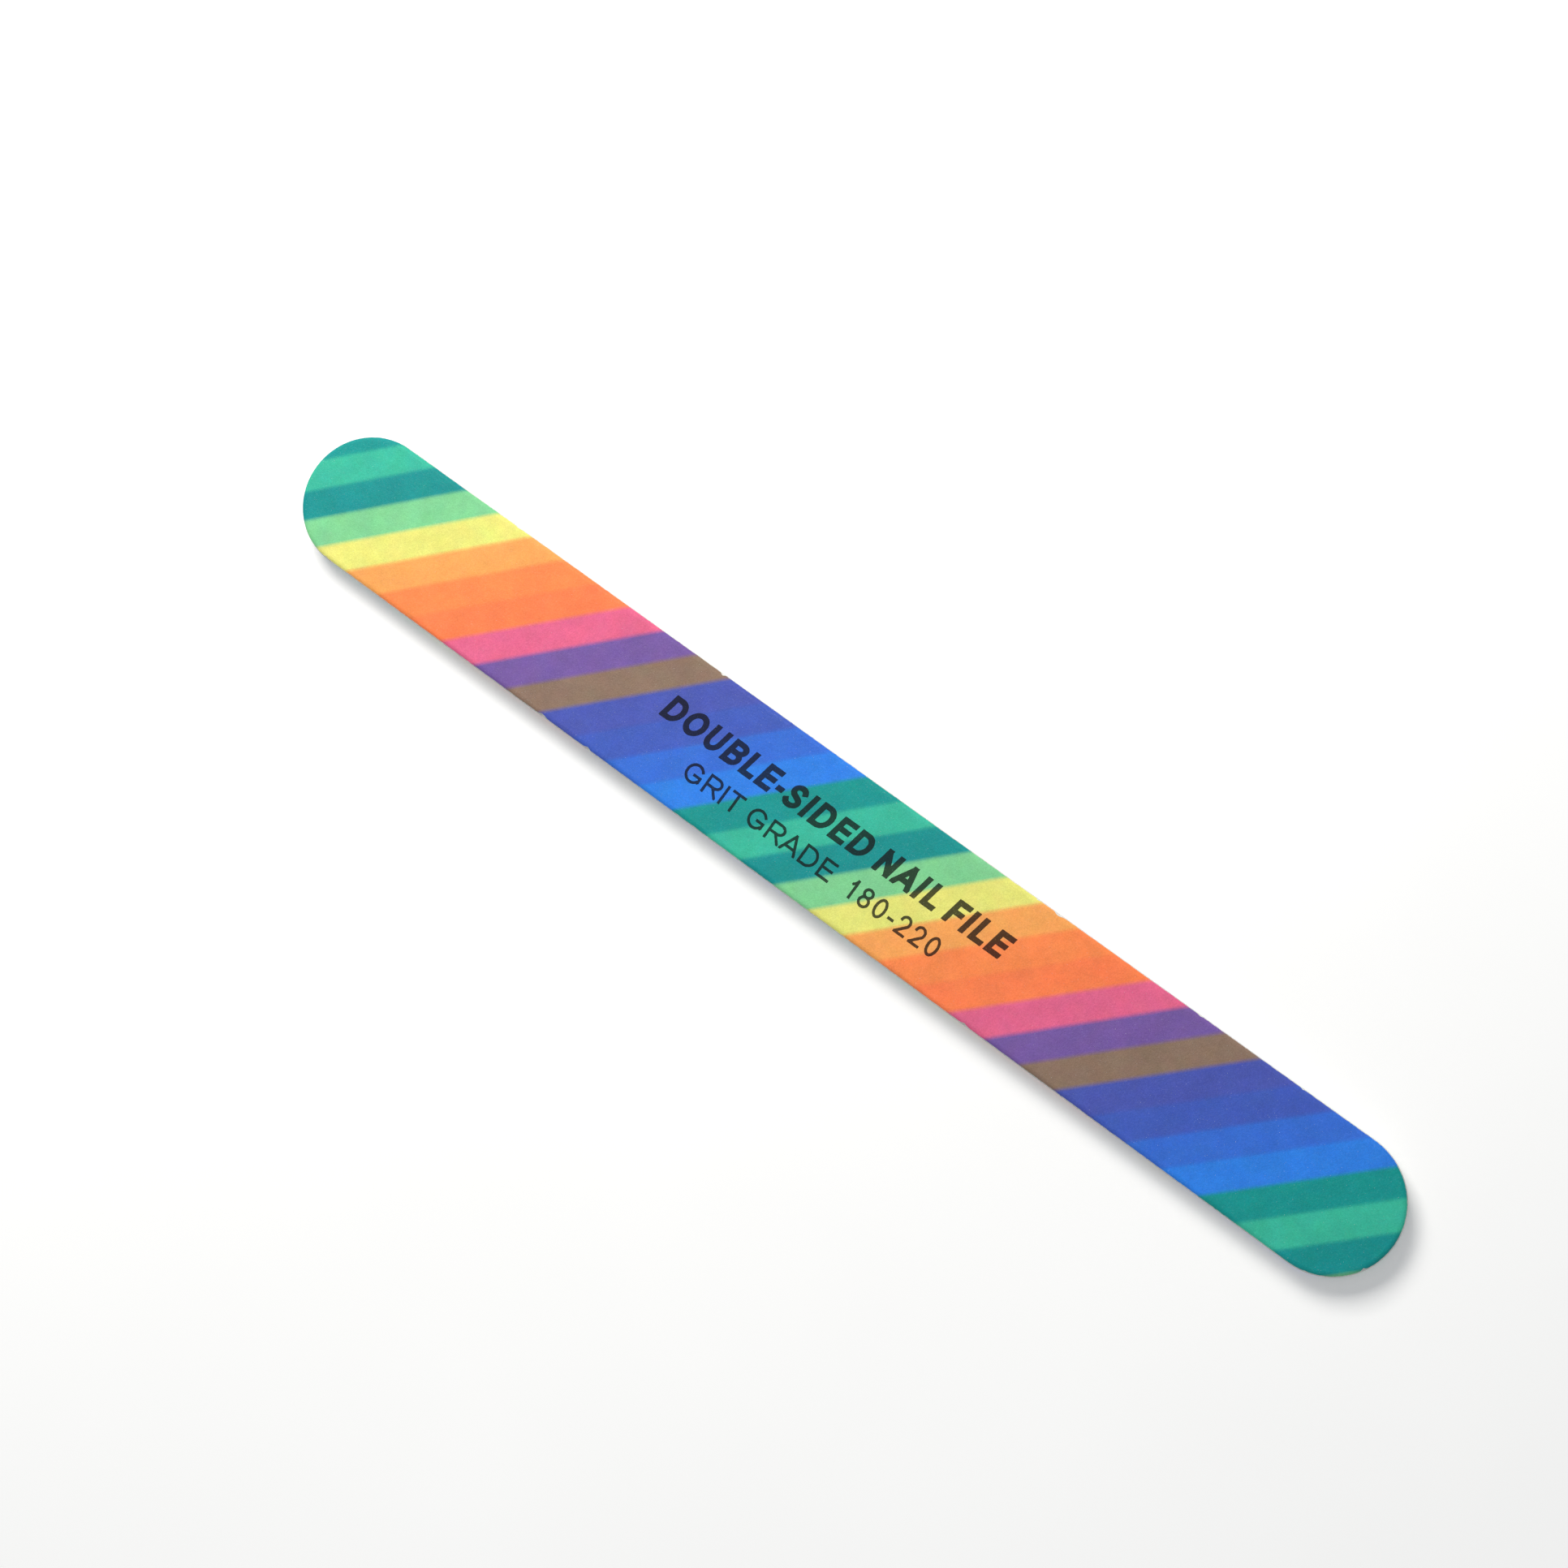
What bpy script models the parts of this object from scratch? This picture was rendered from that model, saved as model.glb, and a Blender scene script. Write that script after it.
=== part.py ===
"""A flat, double-sided nail file: a padded abrasive board with round ends.

The board is a sandwich. A stiff plastic core runs down the middle. On each side of it lie, from the
core outwards, an adhesive film, a soft foam pad, a second adhesive film, a backing paper and a coat
of abrasive grains. The die that cuts the board out drags both faces over the foam, so the film,
paper and grains roll down at the rim. They end a little inside the core, and the pale cut edges of
the core and the foam show between the two faces.

Frame: +X along the file, +Y across it, +Z up through the face with the 180 grit. The origin is
under the middle of the file, on the surface that it lies on. Units are metres.
"""

import math

import bmesh
import bpy

# ---- Driving sizes ---------------------------------------------------------------------------

FILE_LENGTH = 0.178            # over both round ends
FILE_WIDTH = 0.019             # the round ends are half circles of this diameter

CORE_THICKNESS = 0.00100       # stiff plastic strip
CORE_FILM_THICKNESS = 0.00010  # adhesive between the core and a pad
FOAM_THICKNESS = 0.00100       # soft pad, one on each side
FACE_FILM_THICKNESS = 0.00010  # adhesive between a pad and its paper
PAPER_THICKNESS = 0.00020      # backing of the abrasive
GRIT_180_THICKNESS = 0.00014   # coarse coat, on the upper face
GRIT_220_THICKNESS = 0.00012   # fine coat, on the lower face
BOND_GAP = 0.00001             # hair of air that keeps two glued faces from being one face

ROLL_RADIUS = 0.00070          # how roundly the coated faces turn down at the rim
ROLL_ANGLE = math.radians(62)  # how far they turn before the die has cut them off
ROLL_PULL_IN = 0.00012         # the turned edge ends this far inside the core, which keeps its size
FOAM_INSET = 0.00006           # the cut wall of a pad stands this far inside the core
FILM_INSET = 0.00040           # the film on the core is laid this far inside the outline
FOAM_BULGE = 0.00003           # the cut foam swells by this much at half its height
FOAM_WALL_SHARE = 0.75         # this share of the foam's cut height is upright wall

# ---- How finely curves are divided -----------------------------------------------------------

CAP_STEPS = 32                 # facets in each half-round end
ROLL_STEPS = 3                 # facets in the rolled edge
SHARP_ANGLE = math.radians(35)

# ---- Finishes: colour, roughness -------------------------------------------------------------

CORE_FINISH = ((0.90, 0.90, 0.88), 0.35)
FILM_FINISH = ((0.80, 0.78, 0.70), 0.25)
FOAM_FINISH = ((0.88, 0.87, 0.84), 0.90)
PAPER_FINISH = ((0.84, 0.82, 0.77), 0.85)
GRIT_180_FINISH = ((0.05, 0.42, 0.38), 0.80)
GRIT_220_FINISH = ((0.90, 0.25, 0.10), 0.75)


def clear_scene():
    """Remove whatever the file opened with."""
    for item in list(bpy.data.objects):
        bpy.data.objects.remove(item, do_unlink=True)


def finish_material(name, finish):
    """A Principled material with one colour and roughness."""
    colour, roughness = finish
    material = bpy.data.materials.new(name)
    material.use_nodes = True
    shader = material.node_tree.nodes["Principled BSDF"]
    shader.inputs["Base Color"].default_value = (*colour, 1.0)
    shader.inputs["Roughness"].default_value = roughness
    shader.inputs["Metallic"].default_value = 0.0
    return material


# ---- Heights of the layers -------------------------------------------------------------------

def layer_heights(grit_thickness):
    """Inner and outer height of each layer above the core's middle, on the side with this coat."""
    heights = {}
    height = CORE_THICKNESS / 2
    stack = (
        ("core_film", CORE_FILM_THICKNESS),
        ("foam", FOAM_THICKNESS),
        ("face_film", FACE_FILM_THICKNESS),
        ("paper", PAPER_THICKNESS),
        ("grit", grit_thickness),
    )
    for layer, thickness in stack:
        height += BOND_GAP
        heights[layer] = (height, height + thickness)
        height += thickness
    return heights


# ---- Shapes ----------------------------------------------------------------------------------

def outline_points(inset):
    """The file's round-ended outline, moved in by inset: two half circles joined by straights."""
    cap_centre = (FILE_LENGTH - FILE_WIDTH) / 2
    cap_radius = FILE_WIDTH / 2 - inset
    points = []
    for end, first_angle in ((1, -math.pi / 2), (-1, math.pi / 2)):
        for step in range(CAP_STEPS + 1):
            angle = first_angle + math.pi * step / CAP_STEPS
            x = end * cap_centre + cap_radius * math.cos(angle)
            points.append((x, cap_radius * math.sin(angle)))
    return points


def rolled_section(height, surface_height):
    """Section points (inset, height) of a layer face that turns down with the coated surface.

    The face lies at height over the middle of the file, where the coated surface above it lies at
    surface_height. All such faces turn about one centre, so they stay the same distance apart.
    """
    centre_inset = ROLL_PULL_IN + ROLL_RADIUS * math.sin(ROLL_ANGLE)
    centre_height = surface_height - ROLL_RADIUS
    radius = height - centre_height
    section = []
    for step in range(ROLL_STEPS + 1):
        angle = ROLL_ANGLE * step / ROLL_STEPS
        inset = centre_inset - radius * math.sin(angle)
        section.append((inset, centre_height + radius * math.cos(angle)))
    return section


def flat_layer_section(inner, outer, inset):
    """Section of a plain flat layer with a square cut edge."""
    return [(inset, inner), (inset, outer)]


def rolled_layer_section(inner, outer, surface_height):
    """Section of a skin: out along its upper face, and back along its lower face."""
    upper = rolled_section(outer, surface_height)
    lower = rolled_section(inner, surface_height)
    return upper + lower[::-1]


def foam_section(inner, outer, surface_height):
    """Section of a pad: rounded under the skin, and a slightly swollen cut wall below it."""
    shoulder = rolled_section(outer, surface_height)
    shoulder_end = shoulder[-1][1]
    wall_height = FOAM_WALL_SHARE * (shoulder_end - inner)
    wall = [
        (FOAM_INSET, inner + wall_height),
        (FOAM_INSET - FOAM_BULGE, inner + wall_height / 2),
        (FOAM_INSET, inner),
    ]
    return shoulder + wall


def carry_round(name, section, side):
    """A closed body: a section carried round the outline, with its first and last loops filled.

    side is 1 above the core and -1 below it, where the section is turned upside down.
    """
    body = bmesh.new()
    loops = []
    for inset, height in section:
        corners = [body.verts.new((x, y, side * height)) for x, y in outline_points(inset)]
        neighbours = corners[1:] + corners[:1]
        edges = [body.edges.new(pair) for pair in zip(corners, neighbours)]
        loops.append((corners, edges))
    for (_, near_edges), (_, far_edges) in zip(loops, loops[1:]):
        bmesh.ops.bridge_loops(body, edges=near_edges + far_edges)
    body.faces.new(loops[0][0])
    body.faces.new(loops[-1][0])
    bmesh.ops.recalc_face_normals(body, faces=body.faces[:])
    mesh = bpy.data.meshes.new(name)
    body.to_mesh(mesh)
    body.free()
    mesh.shade_smooth()
    mesh.set_sharp_from_angle(angle=SHARP_ANGLE)
    return mesh


# ---- The pieces ------------------------------------------------------------------------------

def add_piece(name, mesh, finish, centre):
    """Link one piece, held by the empty in the middle of the core."""
    mesh.materials.append(finish_material(name + "_finish", finish))
    piece = bpy.data.objects.new(name, mesh)
    piece.parent = centre
    bpy.context.scene.collection.objects.link(piece)
    return piece


def add_core(centre):
    """The stiff strip in the middle of the sandwich."""
    half = CORE_THICKNESS / 2
    section = flat_layer_section(-half, half, 0.0)
    add_piece("core_board", carry_round("core_board", section, 1), CORE_FINISH, centre)


def add_side(suffix, side, grit_thickness, grit_finish, centre):
    """The five layers on one side of the core, from the core outwards."""
    heights = layer_heights(grit_thickness)
    surface = heights["grit"][1]
    pieces = (
        ("core_film", flat_layer_section(*heights["core_film"], FILM_INSET), FILM_FINISH),
        ("foam_pad", foam_section(*heights["foam"], surface), FOAM_FINISH),
        ("face_film", rolled_layer_section(*heights["face_film"], surface), FILM_FINISH),
        ("backing_paper", rolled_layer_section(*heights["paper"], surface), PAPER_FINISH),
        ("grit_coat", rolled_layer_section(*heights["grit"], surface), grit_finish),
    )
    for piece_name, section, finish in pieces:
        name = piece_name + "_" + suffix
        add_piece(name, carry_round(name, section, side), finish, centre)


def build():
    """Build the whole file, lying on its fine face."""
    clear_scene()
    centre = bpy.data.objects.new("core_centre", None)
    centre.location.z = layer_heights(GRIT_220_THICKNESS)["grit"][1]
    bpy.context.scene.collection.objects.link(centre)
    add_core(centre)
    add_side("upper", 1, GRIT_180_THICKNESS, GRIT_180_FINISH, centre)
    add_side("lower", -1, GRIT_220_THICKNESS, GRIT_220_FINISH, centre)


build()
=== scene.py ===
# %% [markdown]
# # A padded nail file, cell by cell
#
# A salon nail file looks like a simple striped stick, but it is a sandwich: a stiff plastic strip in
# the middle, a soft foam pad on each side of it, and a printed abrasive paper over each pad. A die
# stamps the shape out of a large sheet. It drags the papers down over the foam, so both faces are
# flat in the middle and rolled at the rim, and the white insides show along the cut.
#
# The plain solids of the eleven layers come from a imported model. This lesson replaces each of them
# with a detailed surface of the same size, worked out with numpy, and gives it a finish made of
# shader nodes.

# %% The frame: the plain solids, already at their real size and place
import math

import bmesh
import bpy
import numpy as np
from mathutils import Matrix, Vector


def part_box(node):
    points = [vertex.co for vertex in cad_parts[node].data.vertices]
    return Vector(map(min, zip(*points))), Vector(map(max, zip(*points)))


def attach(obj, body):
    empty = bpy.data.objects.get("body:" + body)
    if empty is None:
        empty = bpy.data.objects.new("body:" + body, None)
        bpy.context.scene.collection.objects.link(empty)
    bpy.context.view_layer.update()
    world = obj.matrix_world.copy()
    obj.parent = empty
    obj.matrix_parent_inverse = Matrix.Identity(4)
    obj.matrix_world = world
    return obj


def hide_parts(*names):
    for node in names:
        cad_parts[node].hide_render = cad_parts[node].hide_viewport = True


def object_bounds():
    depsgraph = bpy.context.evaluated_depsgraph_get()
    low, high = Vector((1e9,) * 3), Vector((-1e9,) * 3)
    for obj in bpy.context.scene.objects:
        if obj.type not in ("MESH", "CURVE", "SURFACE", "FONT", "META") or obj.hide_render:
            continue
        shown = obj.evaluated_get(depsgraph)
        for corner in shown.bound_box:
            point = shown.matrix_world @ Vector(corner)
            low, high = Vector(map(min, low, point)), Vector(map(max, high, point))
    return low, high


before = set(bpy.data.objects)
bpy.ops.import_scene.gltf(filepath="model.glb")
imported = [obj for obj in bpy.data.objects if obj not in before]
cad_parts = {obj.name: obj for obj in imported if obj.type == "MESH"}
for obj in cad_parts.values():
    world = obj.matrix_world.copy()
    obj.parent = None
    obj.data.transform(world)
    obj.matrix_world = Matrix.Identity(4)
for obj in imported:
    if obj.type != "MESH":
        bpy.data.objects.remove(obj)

cad_low, cad_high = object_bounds()

# %% [markdown]
# ## Measures
#
# The boards' own boxes give every size that matters: the length and width of the die, and the height
# of each layer. Only the shape of the rolled rim has to be named again. Lengths are in metres, and
# `MM` keeps the small ones readable.

# %% Sizes read from the frame
MM = 0.001
core_low, core_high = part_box("core_board")
FILE_LENGTH = core_high.x - core_low.x
FILE_WIDTH = core_high.y - core_low.y
CORE_MIDDLE = (core_low.z + core_high.z) / 2
CORE_HALF = (core_high.z - core_low.z) / 2
SPINE_END = (FILE_LENGTH - FILE_WIDTH) / 2    # the half-round ends are centred here
RIM = FILE_WIDTH / 2                          # distance from the spine to the die's cut

ROLL_RADIUS = 0.70 * MM                       # how roundly a face turns down at the rim
ROLL_ANGLE = math.radians(62)                 # how far it turns
ROLL_PULL_IN = 0.12 * MM                      # the turned edge ends this far inside the cut
FOAM_INSET = 0.03 * MM                        # the foam's wall stands this far inside the cut
SIDES = {"upper": 1, "lower": -1}             # above and below the core


def outer_height(node, side):
    """Height of a layer's outer face over the middle of the core."""
    low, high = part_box(node)
    return (high.z - CORE_MIDDLE) if side > 0 else (CORE_MIDDLE - low.z)


SURFACE = {name: outer_height(f"grit_coat_{name}", side) for name, side in SIDES.items()}
PAPER_TOP = {name: outer_height(f"backing_paper_{name}", side) for name, side in SIDES.items()}
FILM_TOP = {name: outer_height(f"face_film_{name}", side) for name, side in SIDES.items()}
FOAM_TOP = {name: outer_height(f"foam_pad_{name}", side) for name, side in SIDES.items()}
CORE_FILM_TOP = {name: outer_height(f"core_film_{name}", side) for name, side in SIDES.items()}
HAIR = 0.01 * MM                              # air between two glued faces
print(f"file {FILE_LENGTH / MM:.1f} x {FILE_WIDTH / MM:.1f} mm, faces at",
      {name: round(height / MM, 3) for name, height in SURFACE.items()}, "mm from the middle")

# %% [markdown]
# ## Camera, floor and light
#
# The camera looks almost straight down on the file, from about 40 cm above it. It leans a little
# towards one end, so that end looks larger, and it is turned about its own axis, so the file runs
# down from the upper left to the lower right. A direction, a distance and a turn say all of
# that. `to_track_quat` would choose the turn itself, so the three axes are built here instead.

# %% The camera
VIEW_DISTANCE = 403 * MM
LEAN_TO_END = math.radians(13.4)              # from straight above, towards +X
LEAN_TO_SIDE = math.radians(-1.4)             # and towards +Y
VIEW_TURN = math.radians(36.8)                # from +X to the view's right, seen from above
LENS = 70.3                                   # millimetres
SENSOR_WIDTH = 36.0                           # millimetres
aim = Vector((-8.8 * MM, 2.2 * MM, cad_high.z))

backwards = Vector((math.tan(LEAN_TO_END), math.tan(LEAN_TO_SIDE), 1.0)).normalized()
level = Vector((math.cos(VIEW_TURN), math.sin(VIEW_TURN), 0.0))
rightwards = Vector((level.x, level.y, -level.dot(backwards) / backwards.z)).normalized()
upwards = backwards.cross(rightwards)

camera = bpy.data.objects.new("camera", bpy.data.cameras.new("camera"))
camera.data.lens = LENS
camera.data.sensor_width = SENSOR_WIDTH
camera.data.clip_start = 0.01
turn = Matrix((rightwards, upwards, backwards)).transposed()
camera.matrix_world = Matrix.Translation(aim + backwards * VIEW_DISTANCE) @ turn.to_4x4()
bpy.context.scene.collection.objects.link(camera)
bpy.context.scene.camera = camera
bpy.context.scene.view_settings.view_transform = "Standard"
print("camera stands at", [round(value, 3) for value in camera.matrix_world.translation])

# %% [markdown]
# The light is soft, as from a window with a sheet over it. The window stands high over the far left
# end, so that end is the brightest and also catches a faint sheen, and the light falls off by about a
# quarter towards the near end. It also stands to the far side, so the rolled rim on the near side
# turns away from it and goes darker, which is what makes the roll readable from above. The sky that
# fills the shadows is a little bluer than the window, as a real one is.

# %% Lights and sky
WINDOW_POWER = 2.60                           # watts
WINDOW_SIZE = 0.26
WINDOW_PLACE = (-0.27, 0.19, 0.42)
WINDOW_TARGET = (-0.03, 0.0, 0.0)
WINDOW_COLOUR = (1.0, 0.975, 0.93)            # slightly warm
SKY_STRENGTH = 0.36
SKY_COLOUR = (0.92, 0.96, 1.0, 1.0)           # slightly blue


def add_panel(name, place, target, size, power, colour):
    """A square area light at place, facing target."""
    light = bpy.data.lights.new(name, "AREA")
    light.shape = "SQUARE"
    light.size = size
    light.energy = power
    light.color = colour
    panel = bpy.data.objects.new(name, light)
    panel.location = place
    panel.rotation_euler = (Vector(target) - Vector(place)).to_track_quat("-Z", "Y").to_euler()
    bpy.context.scene.collection.objects.link(panel)
    return panel


add_panel("window", WINDOW_PLACE, WINDOW_TARGET, WINDOW_SIZE, WINDOW_POWER, WINDOW_COLOUR)

sky = bpy.data.worlds.new("sky")
sky.use_nodes = True
sky.node_tree.nodes["Background"].inputs["Color"].default_value = SKY_COLOUR
sky.node_tree.nodes["Background"].inputs["Strength"].default_value = SKY_STRENGTH
bpy.context.scene.world = sky
print("window", WINDOW_POWER, "W, sky", SKY_STRENGTH)

# %% [markdown]
# ## Shader nodes, written as sentences
#
# Every finish below is a small network of nodes. Typed out one by one, nodes hide the idea behind
# the plumbing, so `Recipe` wraps a material: each method adds one node, joins what it is given, and
# returns the node's output. Plain numbers go into the socket, outputs are linked.

# %% A helper that makes node networks readable
class Recipe:
    """One material under construction. All lengths in its patterns are metres in the file's frame."""

    def __init__(self, name):
        self.material = bpy.data.materials.new(name)
        self.material.use_nodes = True
        self.tree = self.material.node_tree
        self.shader = self.tree.nodes["Principled BSDF"]
        place = self.tree.nodes.new("ShaderNodeTexCoord").outputs["Object"]
        self.place = place

    def put(self, socket, value):
        """Link an output to the socket, or set the socket to a plain value."""
        if isinstance(value, bpy.types.NodeSocket):
            self.tree.links.new(value, socket)
        else:
            socket.default_value = value

    def math(self, operation, first, second=0.0, clamp=False):
        """One sum on numbers, such as ADD, MULTIPLY or FRACT."""
        node = self.tree.nodes.new("ShaderNodeMath")
        node.operation = operation
        node.use_clamp = clamp
        self.put(node.inputs[0], first)
        self.put(node.inputs[1], second)
        return node.outputs[0]

    def split(self, vector=None):
        """The x, y and z of a vector, or of the place on the piece."""
        node = self.tree.nodes.new("ShaderNodeSeparateXYZ")
        self.put(node.inputs[0], vector or self.place)
        return node.outputs[0], node.outputs[1], node.outputs[2]

    def stretched(self, scale):
        """The place, multiplied by a factor for each axis: small factors stretch a pattern."""
        node = self.tree.nodes.new("ShaderNodeMapping")
        node.inputs["Scale"].default_value = scale
        self.put(node.inputs["Vector"], self.place)
        return node.outputs[0]

    def noise(self, size, detail=2.0, roughness=0.5, vector=None):
        """Cloudy noise from 0 to 1 whose blobs are about size across."""
        node = self.tree.nodes.new("ShaderNodeTexNoise")
        node.inputs["Scale"].default_value = 1.0 / size
        node.inputs["Detail"].default_value = detail
        node.inputs["Roughness"].default_value = roughness
        self.put(node.inputs["Vector"], vector or self.place)
        return node.outputs["Fac"]

    def tinted_noise(self, size, detail=2.0):
        """The same cloudy noise, different for red, green and blue."""
        node = self.tree.nodes.new("ShaderNodeTexNoise")
        node.inputs["Scale"].default_value = 1.0 / size
        node.inputs["Detail"].default_value = detail
        self.put(node.inputs["Vector"], self.place)
        return node.outputs["Color"]

    def vector_sum(self, operation, first, second, third=(0.0, 0.0, 0.0)):
        """One sum on vectors or colours, such as MULTIPLY or MULTIPLY_ADD."""
        node = self.tree.nodes.new("ShaderNodeVectorMath")
        node.operation = operation
        for socket, value in zip(node.inputs[:3], (first, second, third)):
            self.put(socket, value)
        return node.outputs[0]

    def cells(self, size, vector=None):
        """Distance to the nearest of many scattered points about size apart, 0 at each point."""
        node = self.tree.nodes.new("ShaderNodeTexVoronoi")
        node.inputs["Scale"].default_value = 1.0 / size
        self.put(node.inputs["Vector"], vector or self.place)
        return node.outputs["Distance"]

    def step(self, value, start, end, low=0.0, high=1.0):
        """low where value is below start, high where it is above end, and smooth between."""
        node = self.tree.nodes.new("ShaderNodeMapRange")
        node.interpolation_type = "SMOOTHSTEP"
        for socket, number in zip(node.inputs[:5], (value, start, end, low, high)):
            self.put(socket, number)
        return node.outputs[0]

    def mix(self, share, first, second):
        """A colour that is first where share is 0 and second where it is 1."""
        node = self.tree.nodes.new("ShaderNodeMix")
        node.data_type = "RGBA"
        self.put(node.inputs[0], share)
        self.put(node.inputs[6], first)
        self.put(node.inputs[7], second)
        return node.outputs[2]

    def scaled(self, colour, factor):
        """A colour made lighter or darker by a factor."""
        node = self.tree.nodes.new("ShaderNodeVectorMath")
        node.operation = "SCALE"
        self.put(node.inputs[0], colour[:3] if isinstance(colour, tuple) else colour)
        self.put(node.inputs["Scale"], factor)
        return node.outputs[0]

    def bump(self, height, depth):
        """Let height, from 0 to 1, stand for relief of this depth on the shader's normal."""
        node = self.tree.nodes.new("ShaderNodeBump")
        node.inputs["Distance"].default_value = depth
        self.put(node.inputs["Height"], height)
        self.put(self.shader.inputs["Normal"], node.outputs["Normal"])

    def finish(self, **sockets):
        """Set the shader's sockets by name, with _ for a space, and return the material."""
        for name, value in sockets.items():
            self.put(self.shader.inputs[name.replace("_", " ")], value)
        return self.material


print("recipe ready")

# %% [markdown]
# ## Walking round the file
#
# Every layer has the same outline, only smaller or larger: two straight sides and two half circles.
# A useful way to see it: the file has a *spine*, the line between the centres of its two ends. Each
# point of the outline stands straight out from its foot on the spine. Moving a layer's edge inwards
# only shortens that distance, so one walk round the rim serves all layers.
#
# The walk has the same number of steps on both straight sides, so the feet of the two sides meet on
# the spine and can be merged there.

# %% The walk: a foot on the spine and an outward direction for each step
class Walk:
    """Steps round the rim, anticlockwise from above."""

    def __init__(self, step_length):
        """Formula: straight sides have feet x from +a to -a and back and face +Y or -Y; each
        half-round end has its foot at -a or +a and faces (cos t, sin t), t over half a turn."""
        side_steps = round(2 * SPINE_END / step_length)
        end_steps = round(math.pi * RIM / step_length)
        along = np.linspace(SPINE_END, -SPINE_END, side_steps, endpoint=False)
        around = np.linspace(0.5 * math.pi, 1.5 * math.pi, end_steps, endpoint=False)
        still, ends = np.zeros(side_steps), np.full(end_steps, SPINE_END)
        self.foot = np.concatenate([along, -ends, -along, ends])
        self.out_x = np.concatenate([still, np.cos(around), still, -np.cos(around)])
        self.out_y = np.concatenate([still + 1, np.sin(around), still - 1, -np.sin(around)])
        self.steps = len(self.foot)
        self.length = np.arange(self.steps) * step_length

    def plan(self, distance):
        """x and y of points at each distance from the spine; distance is rows by steps."""
        return self.foot + distance * self.out_x, distance * self.out_y


fine_walk = Walk(0.235 * MM)
edge_walk = Walk(0.14 * MM)
plain_walk = Walk(0.5 * MM)
print("steps round the rim:", fine_walk.steps, edge_walk.steps, plain_walk.steps)

# %% [markdown]
# ## Random relief that is the same every time
#
# Grit, foam cells and torn paper all need irregular heights. Random numbers on a square lattice,
# blended smoothly between its corners, give hills of a chosen size. A seed makes the same hills on
# each run, and asking by x and y means that two pieces which lie on each other, such as ink on grit,
# get the same hills and stay in touch.

# %% Lattice noise
def hills(x, y, size, seed):
    """Heights from -1 to 1. Formula: each lattice corner has a random number; between corners it
    is blended along x and then along y with the weight 3f^2 - 2f^3."""
    table = np.random.default_rng(seed).uniform(-1.0, 1.0, (256, 256))
    across, along = x / size, y / size
    column, row = np.floor(across).astype(int), np.floor(along).astype(int)
    fx, fy = across - column, along - row
    wx, wy = fx * fx * (3 - 2 * fx), fy * fy * (3 - 2 * fy)

    def corner(dx, dy):
        return table[(column + dx) % 256, (row + dy) % 256]

    near = corner(0, 0) * (1 - wx) + corner(1, 0) * wx
    far = corner(0, 1) * (1 - wx) + corner(1, 1) * wx
    return near * (1 - wy) + far * wy


def rim_noise(walk, size, seed):
    """The same hills, read along the rim: one height for each step of the walk."""
    return hills(walk.length, 0 * walk.length, size, seed)


RELIEF_SEED = {"upper": 11, "lower": 31}
RELIEF_DROP = 0.024 * MM                      # the highest lump then just reaches the plain face


def grit_relief(x, y, seed):
    """Height of the coat over its plain face. Formula: a slow swell of the foam beneath, clumps of
    grains, and small lumps, added together and lowered so that none stands out of the plain face."""
    swell = 0.012 * MM * hills(x, y, 7.0 * MM, seed)
    clumps = 0.007 * MM * hills(x, y, 1.1 * MM, seed + 1)
    lumps = 0.006 * MM * hills(x, y, 0.5 * MM, seed + 2)
    return swell + clumps + lumps - RELIEF_DROP


sample = np.linspace(-SPINE_END, SPINE_END, 4000)
depths = -grit_relief(sample, 0 * sample, RELIEF_SEED["upper"]) / MM
print("the grit lies %.3f to %.3f mm under its plain face" % (depths.min(), depths.max()))

# %% [markdown]
# ## From a grid of points to a piece
#
# A layer is a grid: its columns are the steps of the walk, and its rows run from the spine out over
# the face, round the rim and back to the spine underneath. The first and last rows lie on the spine,
# where opposite columns coincide. Merging those doubles closes the body.

# %% Grid to closed body
def add_layer(name, walk, distance, height, side, sharp=50.0):
    """A closed body from rows by steps of distance from the spine and height over the core's middle.

    Formula: x, y from the walk; z is the core's middle plus side times height. Each cell of the
    grid is a quad, turned so that it faces out; on the lower side the order is reversed.
    """
    x, y = walk.plan(distance)
    points = np.stack([x, y, CORE_MIDDLE + side * height], axis=-1).reshape(-1, 3)
    rows, steps = distance.shape
    cell = np.arange((rows - 1) * steps).reshape(rows - 1, steps)
    neighbour = np.roll(cell, -1, axis=1)
    quads = np.stack([cell, cell + steps, neighbour + steps, neighbour], axis=-1).reshape(-1, 4)
    if side < 0:
        quads = quads[:, ::-1]
    mesh = bpy.data.meshes.new(name)
    mesh.from_pydata(points.tolist(), [], quads.tolist())
    work = bmesh.new()
    work.from_mesh(mesh)
    bmesh.ops.remove_doubles(work, verts=work.verts, dist=1e-7)
    work.to_mesh(mesh)
    open_edges = sum(1 for edge in work.edges if not edge.is_manifold)
    work.free()
    mesh.shade_smooth()
    mesh.set_sharp_from_angle(angle=math.radians(sharp))
    piece = bpy.data.objects.new(name, mesh)
    bpy.context.scene.collection.objects.link(piece)
    print(f"{name}: {len(mesh.polygons)} faces, {open_edges} open edges")
    return piece


def stand_in(piece, node, material):
    """Show this piece instead of its plain node, with its finish."""
    piece.data.materials.clear()
    piece.data.materials.append(material)
    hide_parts(node)
    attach(piece, "root")


def rolled(walk, height, surface, angles):
    """Rows of a face that turns down with the coated surface.

    Formula: a circle about a centre that all layers share, one roll radius below the surface; the
    row at angle t stands radius * sin t outwards and radius * cos t up from that centre.
    """
    centre_distance = RIM - ROLL_PULL_IN - ROLL_RADIUS * math.sin(ROLL_ANGLE)
    centre_height = surface - ROLL_RADIUS
    radius = height - centre_height
    angles = angles * np.ones(walk.steps)
    return centre_distance + radius * np.sin(angles), centre_height + radius * np.cos(angles)


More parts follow.
